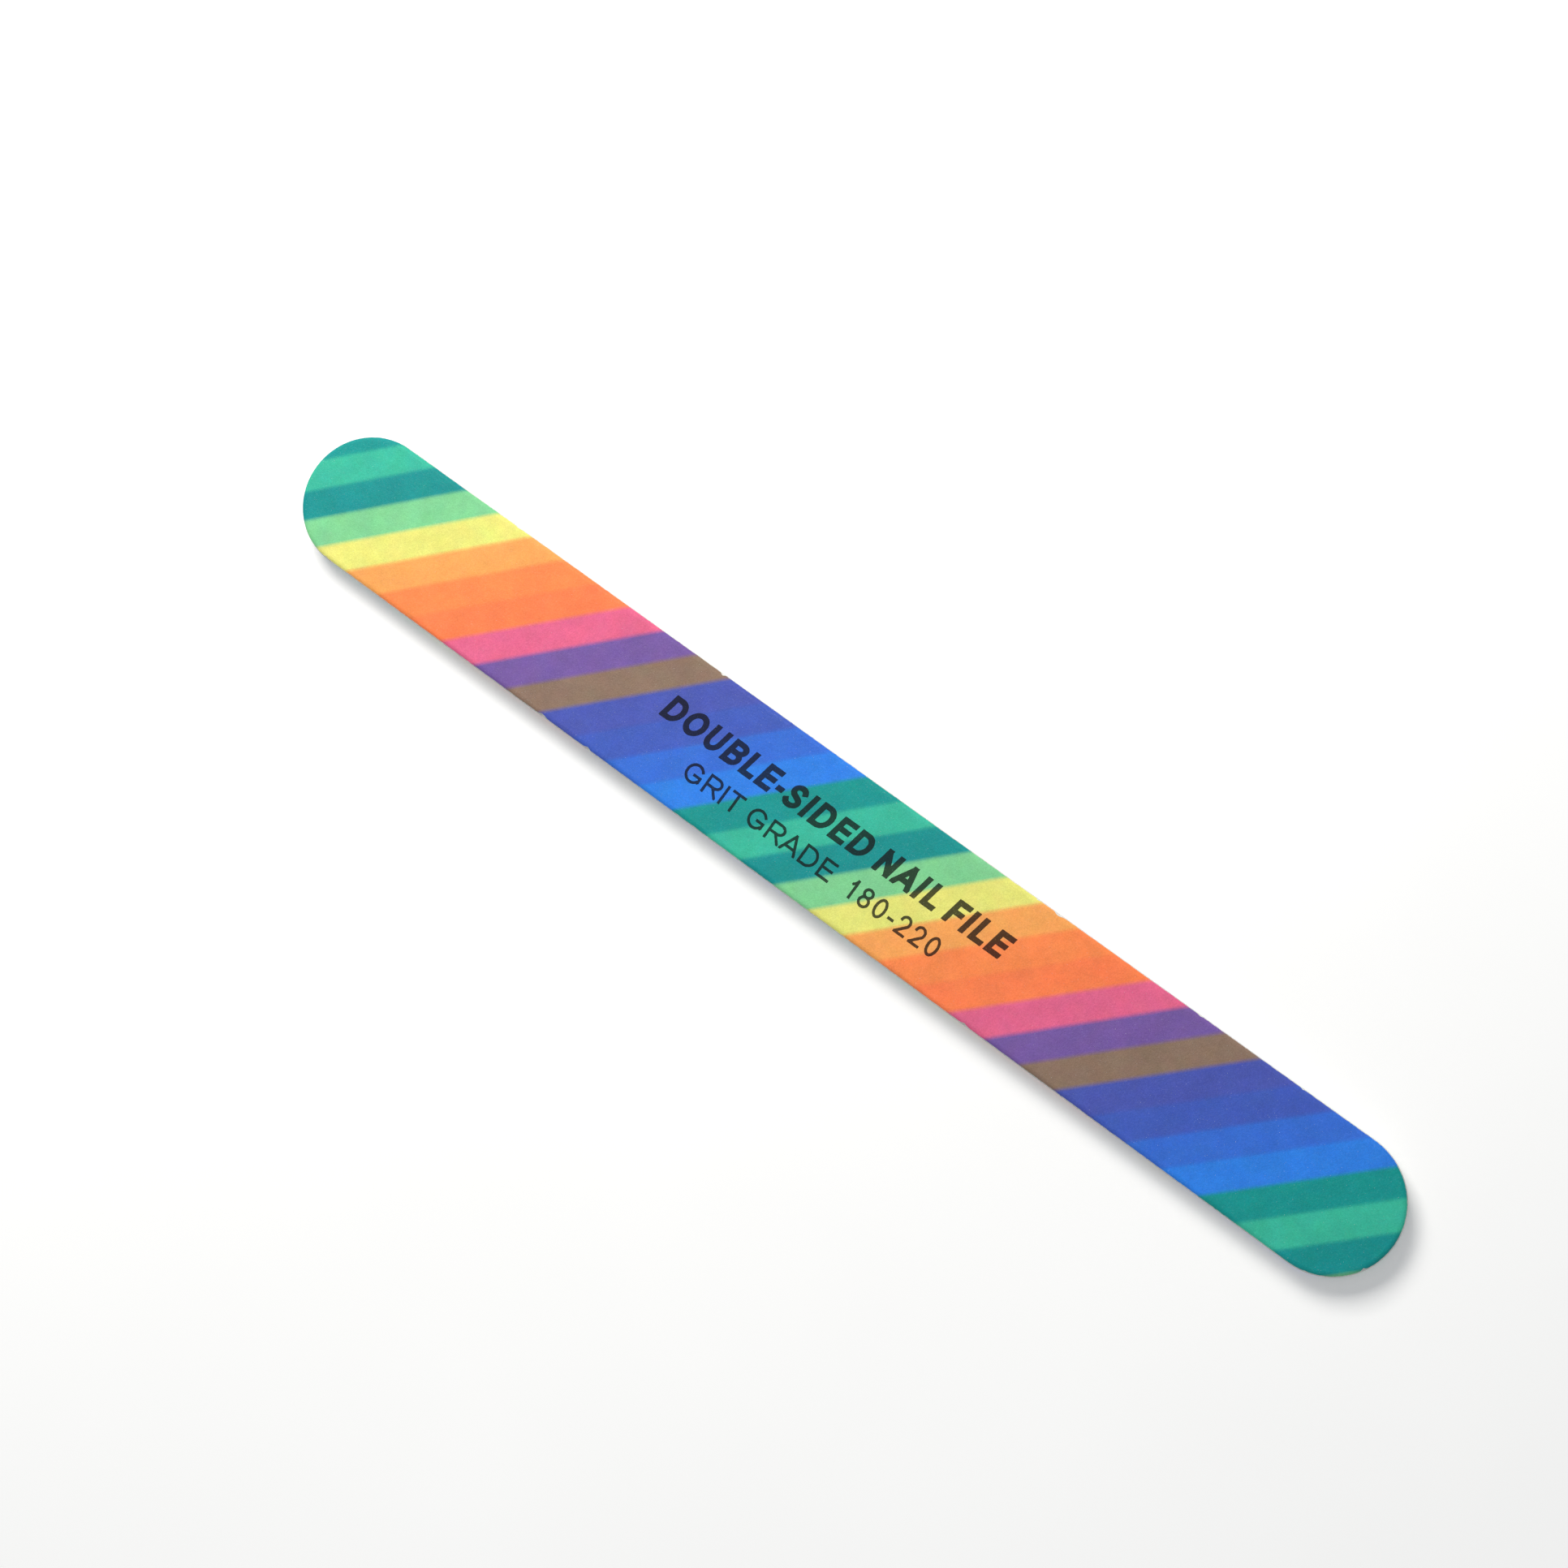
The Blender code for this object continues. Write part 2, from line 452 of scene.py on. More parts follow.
def spread(values, walk):
    """One row for each value, the same at every step."""
    return np.asarray(values)[:, None] * np.ones(walk.steps)


def closed_rows(distance, height):
    """The rows with one more at each end, which lies on the spine and closes the body there."""
    spine = 0 * distance[:1]
    return (np.concatenate([spine, distance, spine]),
            np.concatenate([height[:1], height, height[-1:]]))


FLAT_REACH = RIM - ROLL_PULL_IN - ROLL_RADIUS * math.sin(ROLL_ANGLE)
FOLD_REACH = FLAT_REACH + 0.15 * MM           # where the stiff coat has folded rather than bent
print("the face is flat up to %.2f mm from the spine" % (FLAT_REACH / MM))

# %% [markdown]
# ## The striped print
#
# The abrasive is printed before it is laminated: slanting bands in fifteen inks, from mint through
# yellow, orange, pink and violet to blue, then again from the start. The bands lie at 45 degrees, so
# `x - y` says how far along the pattern a point is. Dividing by the length of one repeat and keeping
# the fraction gives 0 to 1, and a colour ramp turns that into a band.
#
# Hard steps would look like vinyl. Ink soaks into grit, so each ink gets two stops on the ramp and
# blends into the next over a fraction of a millimetre, with a very slightly darker line where they
# overlap. A little noise added to `x - y` roughens each border, slow clouds shift the tint as in any
# cheap print, a grain-sized noise breaks the ink up, and small pits between grains get painted shade.
# Grain tips that took no ink add a pale haze, which is also a painted highlight for their sparkle.
# Towards one end the paper slipped in the press, so the last bands come a little early.

# %% The print as a node network
BAND = 5.712 * MM                             # width of one band, measured along the file
FIRST_BORDER = -89.74 * MM                    # x - y at the border where the mint band starts
BAND_COLOURS = (                              # linear red, green, blue
    (0.040, 0.500, 0.345),                    # mint
    (0.005, 0.290, 0.285),                    # deep teal
    (0.215, 0.640, 0.295),                    # light green
    (0.820, 0.800, 0.195),                    # yellow
    (0.960, 0.390, 0.103),                    # apricot
    (0.985, 0.258, 0.078),                    # orange
    (0.985, 0.222, 0.078),                    # red orange
    (0.800, 0.135, 0.275),                    # pink
    (0.185, 0.103, 0.370),                    # violet
    (0.270, 0.177, 0.127),                    # brown
    (0.070, 0.100, 0.460),                    # indigo
    (0.055, 0.112, 0.520),                    # cobalt
    (0.038, 0.160, 0.690),                    # blue
    (0.028, 0.225, 0.830),                    # bright blue
    (0.005, 0.310, 0.290),                    # sea green
)
INKS = len(BAND_COLOURS)
PRESS_SLIP = 0.70 * MM                        # how much too early the last bands come
PRESS_SLIP_ZONE = (40 * MM, 76 * MM)          # the slip grows from none to all of it between these
BORDER_FRAY = 0.13 * MM                       # how far a border wanders between grains
BORDER_BLEND = 0.070                          # share of a band that blends into the next ink
OVERLAP_SHARE = 0.035                         # share of a band under the next ink's overlap
OVERLAP_SHADE = 0.98
TINT_BASE = (0.90, 0.935, 0.90)               # the least that a cloud leaves of red, green, blue
TINT_RANGE = (0.20, 0.13, 0.20)               # and how much more it may leave
# painted highlight in part: the pale haze stands for uninked grain tips and also for their sparkle
BARE_TIPS_AND_SPARKLE_HAZE = 0.024                             # what uncoloured grain tips add to any ink
WHITE = (1.0, 1.0, 1.0)
GRIT_SHEEN = 0.15                             # well under a plastic's mirror reflection, 0.5
PAPER_WHITE = (0.80, 0.79, 0.74, 1.0)
CRACK_BARENESS = 0.30                         # how much paper a crack in the fold lays bare
FRAY_BARENESS = 0.60                          # and how much fraying at the cut does
GRIT_BUMP = 0.035 * MM


def ink_ramp(recipe, fraction):
    """A ramp with two stops to an ink, so that neighbours blend; it also joins up at its ends."""
    node = recipe.tree.nodes.new("ShaderNodeValToRGB")
    ramp = node.color_ramp
    seam = tuple((first + last) / 2 for first, last in zip(BAND_COLOURS[0], BAND_COLOURS[-1]))
    for stop in ramp.elements:
        stop.color = (*seam, 1.0)
    for number, colour in enumerate(BAND_COLOURS):
        for edge in (number + BORDER_BLEND, number + 1 - BORDER_BLEND):
            ramp.elements.new(edge / INKS).color = (*colour, 1.0)
    recipe.put(node.inputs[0], fraction)
    return node.outputs["Color"]


def banded_ink(recipe, side):
    """Colour of the print. Formula: the fraction of (x - side * y + slip - start) / repeat, read
    from the ramp, multiplied by overlaps, tinted clouds, grains and the painted shade of pits,
    plus the pale haze of bare grain tips, which also paints their sparkle."""
    x, y, _ = recipe.split()
    fray = recipe.math("SUBTRACT", recipe.noise(0.22 * MM, 2.0), 0.5)
    slant = recipe.math("SUBTRACT", x, recipe.math("MULTIPLY", y, float(side)))
    slip = recipe.step(slant, *PRESS_SLIP_ZONE, 0.0, PRESS_SLIP)
    slant = recipe.math("ADD", slant, recipe.math("MULTIPLY", fray, 2 * BORDER_FRAY))
    slant = recipe.math("ADD", slant, slip)
    bands = recipe.math("DIVIDE", recipe.math("SUBTRACT", slant, FIRST_BORDER), BAND)
    ink = ink_ramp(recipe, recipe.math("FRACT", recipe.math("DIVIDE", bands, float(INKS))))
    within = recipe.math("ABSOLUTE", recipe.math("SUBTRACT", recipe.math("FRACT", bands), 0.5))
    overlap = recipe.step(within, 0.5 - OVERLAP_SHARE, 0.5, 1.0, OVERLAP_SHADE)
    clouds = recipe.step(recipe.noise(4.0 * MM, 3.0), 0.3, 0.7, 0.95, 1.04)
    grains = recipe.step(recipe.noise(0.17 * MM, 1.0, 0.8), 0.25, 0.75, 0.92, 1.07)
    blotches = recipe.step(recipe.noise(0.75 * MM, 2.0, 0.6), 0.3, 0.7, 0.97, 1.025)
    # painted shade: small dark spots in the ink where pits between grains lie
    pits = recipe.step(recipe.cells(1.1 * MM), 0.02, 0.08, 0.84, 1.0)
    shade = overlap
    for factor in (clouds, grains, blotches, pits):
        shade = recipe.math("MULTIPLY", shade, factor)
    tint = recipe.vector_sum("MULTIPLY_ADD", recipe.tinted_noise(2.4 * MM), TINT_RANGE, TINT_BASE)
    ink = recipe.scaled(recipe.vector_sum("MULTIPLY", ink, tint), shade)
    # pale specks, partly bare grain tips and partly a painted highlight for their sparkle
    haze = recipe.step(recipe.noise(0.21 * MM, 1.0, 0.8), 0.50, 0.85, 0.0, BARE_TIPS_AND_SPARKLE_HAZE)
    return recipe.vector_sum("ADD", ink, recipe.scaled(WHITE, haze))


def reach_from_spine(recipe):
    """Distance from the spine, in nodes. Formula: the length of (max(|x| - a, 0), y)."""
    x, y, _ = recipe.split()
    beyond = recipe.math("SUBTRACT", recipe.math("ABSOLUTE", x), SPINE_END)
    beyond = recipe.math("MAXIMUM", beyond, 0.0)
    squares = recipe.math("ADD", recipe.math("MULTIPLY", beyond, beyond),
                          recipe.math("MULTIPLY", y, y))
    return recipe.math("SQRT", squares)


def rim_wear(recipe, reach):
    """Share of bare paper: specks along the fold of the rolled rim, and fraying at its cut."""
    fold = recipe.math("MULTIPLY",
                       recipe.step(reach, FOLD_REACH - 0.30 * MM, FOLD_REACH - 0.02 * MM),
                       recipe.step(reach, FOLD_REACH + 0.02 * MM, FOLD_REACH + 0.25 * MM, 1.0, 0.0))
    specks = recipe.step(recipe.noise(0.24 * MM, 2.0, 0.7), 0.62, 0.74)
    patches = recipe.step(recipe.noise(9.0 * MM, 1.0), 0.45, 0.62)
    cracks = recipe.math("MULTIPLY", fold, recipe.math("MULTIPLY", specks, patches))
    cut = recipe.step(reach, RIM - ROLL_PULL_IN - 0.10 * MM, RIM - ROLL_PULL_IN - 0.01 * MM)
    fraying = recipe.math("MULTIPLY", cut, recipe.step(recipe.noise(0.35 * MM), 0.40, 0.60))
    return recipe.math("ADD", recipe.math("MULTIPLY", cracks, CRACK_BARENESS),
                       recipe.math("MULTIPLY", fraying, FRAY_BARENESS), clamp=True)


def abrasive_finish(name, side, grain_size):
    """Printed grit: the banded ink, worn at the rim, with a matte relief."""
    recipe = Recipe(name)
    reach = reach_from_spine(recipe)
    colour = recipe.mix(rim_wear(recipe, reach), banded_ink(recipe, side), PAPER_WHITE)
    crystals = recipe.cells(grain_size)
    lumps = recipe.noise(2.6 * grain_size, 2.0, 0.65)
    recipe.bump(recipe.math("SUBTRACT", lumps, recipe.math("MULTIPLY", crystals, 0.55)), GRIT_BUMP)
    shine = recipe.step(recipe.noise(1.7 * grain_size, 1.0), 0.3, 0.7, 0.42, 0.66)
    return recipe.finish(Base_Color=colour, Roughness=shine, Specular_IOR_Level=GRIT_SHEEN)


ABRASIVE = {"upper": abrasive_finish("printed_grit_180", SIDES["upper"], 0.11 * MM),
            "lower": abrasive_finish("printed_grit_220", SIDES["lower"], 0.09 * MM)}
print("bands:", len(BAND_COLOURS), "repeat every %.1f mm" % (BAND * len(BAND_COLOURS) / MM))

# %% [markdown]
# ## The abrasive coats
#
# A coat is about as thick as one grain is high. Its face could be a flat plate with bump alone, but
# the silhouette and the rolled rim would then look machined. So the grid itself carries the relief.
# At the rim the die breaks the brittle coat: its edge is ragged, with a few larger chips, scattered
# all round, that lay the paper bare.

# %% Ragged rim and coated faces
def broken_edge(walk, seed, chips):
    """How much of the roll's last stretch is broken off, as an angle at each step.

    Formula: fine lattice noise for the ragged break, plus a bell-shaped notch for each chip.
    """
    rng = np.random.default_rng(seed)
    ragged = 0.050 * (1 + rim_noise(walk, 0.6 * MM, seed))
    ragged += 0.035 * (1 + rim_noise(walk, 0.24 * MM, seed + 1))
    total = walk.length[-1]
    centres = rng.uniform(0, total, chips)
    widths = rng.uniform(0.15, 0.60, chips) * MM
    depths = rng.uniform(0.12, 0.50, chips)
    apart = np.abs(walk.length[:, None] - centres)
    apart = np.minimum(apart, total - apart)
    return ragged + (depths * np.exp(-(apart / widths) ** 2)).sum(axis=1)


CHIPS = 18                                    # larger chips round the rim of a face
MOST_BROKEN = 0.6                             # share of the roll that may be broken off
FACE_ROWS = 32                                # from the spine to just before the fold
FOLD_ROWS = 6                                 # closer rows where the crease lies
FOLD_ROOM = 0.55 * MM                         # how far inside the fold they start
ROLL_ROWS = 10
UNDER_ROWS = 4
CREASE = 0.012 * MM                           # depth of the crease
CREASE_WIDTH = 0.09 * MM


def coated_face(name, side, surface, thickness, seed):
    """Grid of a coat: out over the gritty face, down the roll to the broken edge, and back under.

    Formula: the plain height, plus the relief of the grit, less a bell-shaped crease at the fold.
    """
    walk = fine_walk
    last = ROLL_ANGLE - np.clip(broken_edge(walk, seed, CHIPS), 0.0, MOST_BROKEN * ROLL_ANGLE)
    fold_start = FLAT_REACH - FOLD_ROOM
    reaches = np.concatenate([np.linspace(0.0, fold_start, FACE_ROWS, endpoint=False),
                              np.linspace(fold_start, FLAT_REACH, FOLD_ROWS, endpoint=False)])
    face = spread(reaches, walk)
    turns = (np.linspace(0.0, 1.0, ROLL_ROWS)[:, None] ** 1.2) * last
    roll_distance, roll_height = rolled(walk, surface, surface, turns)
    back = np.linspace(1.0, 0.0, UNDER_ROWS)[:, None] * last
    under_distance, under_height = rolled(walk, surface - thickness, surface, back)
    distance = np.concatenate([face, roll_distance, under_distance, 0 * under_distance[:1]])
    height = np.concatenate([face * 0 + surface, roll_height, under_height, under_height[-1:]])
    top_rows = FACE_ROWS + FOLD_ROWS + ROLL_ROWS - 1
    x, y = walk.plan(distance[:top_rows])
    crease = CREASE * np.exp(-((distance[:top_rows] - FOLD_REACH) / CREASE_WIDTH) ** 2)
    height[:top_rows] += grit_relief(x, y, seed) - crease
    return add_layer(name, walk, distance, height, side)


for name, side in SIDES.items():
    thickness = SURFACE[name] - PAPER_TOP[name] - HAIR
    coat = coated_face(f"abrasive_{name}", side, SURFACE[name], thickness, RELIEF_SEED[name])
    stand_in(coat, f"grit_coat_{name}", ABRASIVE[name])

# %% [markdown]
# ## Backing papers
#
# The paper is white, waterproof and fibrous. Only its cut edge can be seen, as a thin white line
# under the coat, and the bare spots where the coat has chipped. Cut paper is a bundle of fibre ends,
# so the edge wanders a little and its finish has streaks that run along the cut.

# %% Paper
def paper_finish(name):
    """White fibrous paper: streaks along the file, and a soft rough bump."""
    recipe = Recipe(name)
    fibres = recipe.noise(0.09 * MM, 3.0, 0.6, recipe.stretched((0.25, 1.0, 1.0)))
    stains = recipe.noise(6.0 * MM, 2.0)
    shade = recipe.math("MULTIPLY", recipe.step(fibres, 0.3, 0.7, 0.86, 1.04),
                        recipe.step(stains, 0.3, 0.7, 0.95, 1.02))
    recipe.bump(fibres, 0.02 * MM)
    return recipe.finish(Base_Color=recipe.scaled(PAPER_WHITE, shade), Roughness=0.9)


def paper_sheet(name, side, surface, top, thickness, seed):
    """Grid of a paper: flat, rolled at the rim, with an edge of fibre ends.

    Formula: the last angle of the roll is moved by fine noise, by up to a fifth of a paper's
    thickness, differently for the upper and the lower arris.
    """
    walk = edge_walk
    fuzz = thickness / ROLL_RADIUS * 0.2
    ends = ROLL_ANGLE + fuzz * (rim_noise(walk, 0.16 * MM, seed) - 1)
    under_ends = ROLL_ANGLE + fuzz * (rim_noise(walk, 0.19 * MM, seed + 1) - 1)
    shares = np.array([0.0, 0.25, 0.5, 0.75, 0.92, 1.0])[:, None]
    upper_distance, upper_height = rolled(walk, top, surface, shares * ends)
    middle = ROLL_ANGLE + fuzz * (rim_noise(walk, 0.13 * MM, seed + 2) - 0.6)
    cut_distance, cut_height = rolled(walk, top - thickness / 2, surface, middle[None])
    lower_distance, lower_height = rolled(walk, top - thickness, surface, shares[::-1] * under_ends)
    rows = closed_rows(np.concatenate([upper_distance, cut_distance, lower_distance]),
                       np.concatenate([upper_height, cut_height, lower_height]))
    return add_layer(name, walk, *rows, side)


paper_white = paper_finish("backing_paper")
for name, side in SIDES.items():
    thickness = PAPER_TOP[name] - FILM_TOP[name] - HAIR
    sheet = paper_sheet(f"paper_{name}", side, SURFACE[name], PAPER_TOP[name], thickness, 51 + side)
    stand_in(sheet, f"backing_paper_{name}", paper_white)

# %% [markdown]
# ## Foam pads
#
# The pads are closed-cell foam. Sliced by the die, each cell at the cut becomes a tiny open cup, so
# the wall is pitted, never smooth, and it swells slightly because the pad is squeezed between the
# papers and the core. The wall gets its own fine rows, and lattice noise presses the pits in.

# %% Foam
FOAM_WHITE = (0.79, 0.79, 0.76, 1.0)


def foam_finish(name):
    """White foam: cups whose floors get painted shade, from the distance to scattered points."""
    recipe = Recipe(name)
    cups = recipe.cells(0.16 * MM)
    fine = recipe.cells(0.07 * MM)
    # painted shade: darker at the floor of each large and small cup
    shade = recipe.math("ADD", recipe.step(cups, 0.0, 0.6, 0.80, 1.0),
                        recipe.step(fine, 0.0, 0.6, -0.06, 0.03))
    depth = recipe.math("ADD", cups, recipe.math("MULTIPLY", fine, 0.4))
    recipe.bump(depth, 0.05 * MM)
    return recipe.finish(Base_Color=recipe.scaled(FOAM_WHITE, shade), Roughness=0.92,
                         Subsurface_Weight=0.12, Subsurface_Scale=0.4 * MM)


WALL_ROWS = 13


def foam_pad(name, side, surface, top, bottom, seed):
    """Grid of a pad: flat, rounded under the paper, a pitted wall, and flat underneath.

    Formula: the wall runs from the end of the rounding to the pad's foot; its distance from the
    spine swells as half a sine wave and is pressed in by the square of lattice noise.
    """
    walk = edge_walk
    arc_distance, arc_height = rolled(walk, top, surface,
                                      np.linspace(0.0, ROLL_ANGLE, 5)[:, None])
    share = np.linspace(0.0, 1.0, WALL_ROWS)[:, None]
    wall_top = arc_height[-1] - 0.05 * MM
    wall_height = wall_top + share * (bottom - wall_top)
    swell = 0.03 * MM * np.sin(math.pi * share)
    around = np.broadcast_to(walk.length, wall_height.shape)
    pits = np.clip(hills(around, wall_height, 0.13 * MM, seed), 0.0, 1.0) ** 2
    dents = np.clip(hills(around, wall_height, 0.31 * MM, seed + 1), 0.0, 1.0)
    tuck = 0.26 * MM * np.clip(1 - share / 0.3, 0.0, 1.0) ** 2
    wall = RIM - FOAM_INSET - 0.03 * MM + swell - 0.05 * MM * pits - 0.02 * MM * dents - tuck
    rows = closed_rows(np.concatenate([arc_distance, wall]),
                       np.concatenate([arc_height, wall_height]))
    return add_layer(name, walk, *rows, side, sharp=60.0)


white_foam = foam_finish("white_foam")
for name, side in SIDES.items():
    foot = CORE_FILM_TOP[name] + HAIR
    pad = foam_pad(f"foam_{name}", side, SURFACE[name], FOAM_TOP[name], foot, 71 + side)
    stand_in(pad, f"foam_pad_{name}", white_foam)

# %% [markdown]
# ## Adhesive films
#
# Four films hold the sandwich together. The die squeezes a little adhesive out, so the rim of each
# film comes forward in some places and stays back in others. Pressure-sensitive adhesive is clear
# with a faint yellow tint, and glossier than all round it.

# %% Films
THIN_GLUE = (0.78, 0.75, 0.62, 1)
THICK_GLUE = (0.66, 0.60, 0.44, 1)


def glue_finish(name):
    """Tinted, glossy adhesive with slow changes of thickness."""
    recipe = Recipe(name)
    thick = recipe.noise(0.8 * MM, 2.0)
    colour = recipe.mix(recipe.step(thick, 0.3, 0.7), THIN_GLUE, THICK_GLUE)
    recipe.bump(thick, 0.02 * MM)
    return recipe.finish(Base_Color=colour, Roughness=recipe.step(thick, 0.3, 0.7, 0.18, 0.34))


def squeeze(walk, seed):
    """Distance from 0 to 1 that the adhesive has crept forward at each step: slow plus fine noise."""
    slow = rim_noise(walk, 3.2 * MM, seed)
    fine = rim_noise(walk, 0.7 * MM, seed + 1)
    return np.clip(0.5 + 0.35 * slow + 0.15 * fine, 0.0, 1.0)


def flat_film(name, side, inner, outer, seed):
    """Grid of a flat film with a rounded bead at its rim, which creeps between 0.1 and 0.4 mm."""
    walk = plain_walk
    edge = RIM - 0.40 * MM + 0.30 * MM * squeeze(walk, seed)
    bead = np.linspace(0.5 * math.pi, -0.5 * math.pi, 5)[:, None]
    half = (outer - inner) / 2
    bead_distance = edge + half * np.cos(bead)
    bead_height = inner + half + half * np.sin(bead) + 0 * edge
    return add_layer(name, walk, *closed_rows(bead_distance, bead_height), side)


def rolled_film(name, side, surface, top, thickness, seed):
    """Grid of a film that turns down with the paper; its end creeps along the roll."""
    walk = plain_walk
    ends = ROLL_ANGLE - 0.16 * (1 - squeeze(walk, seed))
    shares = np.linspace(0.0, 1.0, 6)[:, None]
    upper_distance, upper_height = rolled(walk, top, surface, shares * ends)
    lower_distance, lower_height = rolled(walk, top - thickness, surface, shares[::-1] * ends)
    rows = closed_rows(np.concatenate([upper_distance, lower_distance]),
                       np.concatenate([upper_height, lower_height]))
    return add_layer(name, walk, *rows, side)


clear_glue = glue_finish("clear_adhesive")
for name, side in SIDES.items():
    inner_film = flat_film(f"core_glue_{name}", side, CORE_HALF + HAIR, CORE_FILM_TOP[name], 91 + side)
    stand_in(inner_film, f"core_film_{name}", clear_glue)
    thickness = FILM_TOP[name] - FOAM_TOP[name] - HAIR
    outer_film = rolled_film(f"face_glue_{name}", side, SURFACE[name], FILM_TOP[name], thickness,
                             101 + side)
    stand_in(outer_film, f"face_film_{name}", clear_glue)

# %% [markdown]
# ## The core
#
# The stiff strip is white polystyrene. The die shears it, which leaves a slightly rounded upper
# arris where the blade entered, a burnished band, and then a rougher torn band with fine upright
# scratches. That is drawn as a profile whose lower half is pulled in and out by noise.

# %% Core strip
CORE_WHITE = (0.84, 0.84, 0.83, 1.0)


def core_finish(name):
    """Satin white plastic with fine upright scratches: noise stretched tall."""
    recipe = Recipe(name)
    scratches = recipe.noise(0.10 * MM, 2.0, 0.6, recipe.stretched((1.0, 1.0, 0.12)))
    shade = recipe.step(scratches, 0.3, 0.7, 0.90, 1.02)
    recipe.bump(scratches, 0.015 * MM)
    return recipe.finish(Base_Color=recipe.scaled(CORE_WHITE, shade),
                         Roughness=recipe.step(scratches, 0.3, 0.7, 0.30, 0.50),
                         Subsurface_Weight=0.10, Subsurface_Scale=0.5 * MM)


def core_strip(name, seed):
    """Grid of the strip. Formula: an edge profile from the upper to the lower arris, rounded by a
    quarter circle at both, with the lower, torn half pressed in by upright noise."""
    walk = edge_walk
    arris = 0.06 * MM
    quarter = np.linspace(0.0, 0.5 * math.pi, 4)
    levels = np.concatenate([CORE_HALF - arris + arris * np.cos(quarter),
                             np.linspace(CORE_HALF - arris, arris - CORE_HALF, 8)[1:-1],
                             arris - CORE_HALF - arris * np.sin(quarter)])
    insets = np.concatenate([arris - arris * np.sin(quarter), np.zeros(6),
                             arris - arris * np.cos(quarter)])
    torn = np.clip(-levels / CORE_HALF, 0.0, 1.0)[:, None]
    scratch = 0.5 + 0.5 * rim_noise(walk, 0.15 * MM, seed)
    edge = RIM - insets[:, None] - 0.03 * MM * torn * scratch
    return add_layer(name, walk, *closed_rows(edge, spread(levels, walk)), 1)


stand_in(core_strip("core_strip", 121), "core_board", core_finish("white_polystyrene"))

# %% [markdown]
# ## Grains that stand proud
#
# A real coat always has some grains that stand higher than the rest. Their tips lose the ink first,
# and the bare crystal then sparkles. Each is a stretched octahedron with eight facets, thrown down at
# random, turned at random and sunk in the coat. All grains of one face form one mesh, because
# thousands of objects would be slow.

# %% Scattered crystals
def scatter_grains(name, side, surface, relief_seed, count, sizes, seed):
    """Octahedra on the flat of a face. Formula: six points on the axes of a random frame, each
    axis with its own length, added to a centre on the coat's relief."""
    rng = np.random.default_rng(seed)
    tries = rng.uniform(-1.0, 1.0, (3 * count, 2)) * (FILE_LENGTH / 2, RIM)
    beyond = np.maximum(np.abs(tries[:, 0]) - SPINE_END, 0.0)
    centres = tries[np.hypot(beyond, tries[:, 1]) < FLAT_REACH][:count]
    size = rng.uniform(*sizes, len(centres))
    level = surface + grit_relief(centres[:, 0], centres[:, 1], relief_seed) - 0.2 * size
    z = CORE_MIDDLE + side * level
    frames = np.linalg.qr(rng.normal(size=(len(centres), 3, 3)))[0]
    lengths = size[:, None] * rng.uniform(0.7, 1.25, (len(centres), 3))
    arms = frames * lengths[:, :, None]
    corners = np.concatenate([arms, -arms], axis=1)
    points = np.column_stack([centres, z])[:, None, :] + corners
    facets = [(0, 1, 2), (1, 3, 2), (3, 4, 2), (4, 0, 2), (1, 0, 5), (3, 1, 5), (4, 3, 5), (0, 4, 5)]
    faces = np.array(facets)[None] + 6 * np.arange(len(centres))[:, None, None]
    turned_in = np.linalg.det(frames) < 0
    faces[turned_in] = faces[turned_in][:, :, ::-1]
    mesh = bpy.data.meshes.new(name)
    mesh.from_pydata(points.reshape(-1, 3).tolist(), [], faces.reshape(-1, 3).tolist())
    piece = bpy.data.objects.new(name, mesh)
    bpy.context.scene.collection.objects.link(piece)
    print(f"{name}: {len(centres)} grains")
    return piece


def crystal_finish(name):
    """Bare abrasive crystal: pale or smoky, glossy, slightly different from grain to grain."""
    recipe = Recipe(name)
    smoky = recipe.step(recipe.noise(0.5 * MM, 1.0), 0.35, 0.65)
    colour = recipe.mix(smoky, (0.34, 0.40, 0.46, 1.0), (0.80, 0.84, 0.84, 1.0))
    shine = recipe.step(recipe.noise(0.3 * MM, 1.0), 0.3, 0.7, 0.10, 0.28)
    return recipe.finish(Base_Color=colour, Roughness=shine)


bare_crystal = crystal_finish("bare_crystal")
GRAIN_COUNT = 2400                            # on each face
GRAIN_SIZES = {"upper": (0.018 * MM, 0.038 * MM), "lower": (0.014 * MM, 0.030 * MM)}
for name, side in SIDES.items():
    grains = scatter_grains(f"bare_grains_{name}", side, SURFACE[name], RELIEF_SEED[name],
                            GRAIN_COUNT, GRAIN_SIZES[name], 151 + side)
    grains.data.materials.append(bare_crystal)
    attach(grains, "root")

# %% [markdown]
# ## Lettering
#
# Two centred lines are screen-printed over the bands: a bold slanted one that says what the tool is,
# and a light upright one with its grit numbers. The words are plain descriptions. Blender has a text
# object, but its outlines are perfect and flat, and this ink lies on grit: its borders are ragged and
# it follows every grain.
#
# So the letters are drawn with a pen. A letter is a few strokes, and a point belongs to it when it is
# closer than half a pen's width to one of them. That *distance* is a smooth function of x and y, so
# it can be computed for a whole lattice at once, several strokes join by taking the smallest value,
# and a little noise added to it frays the outline, as grit does.

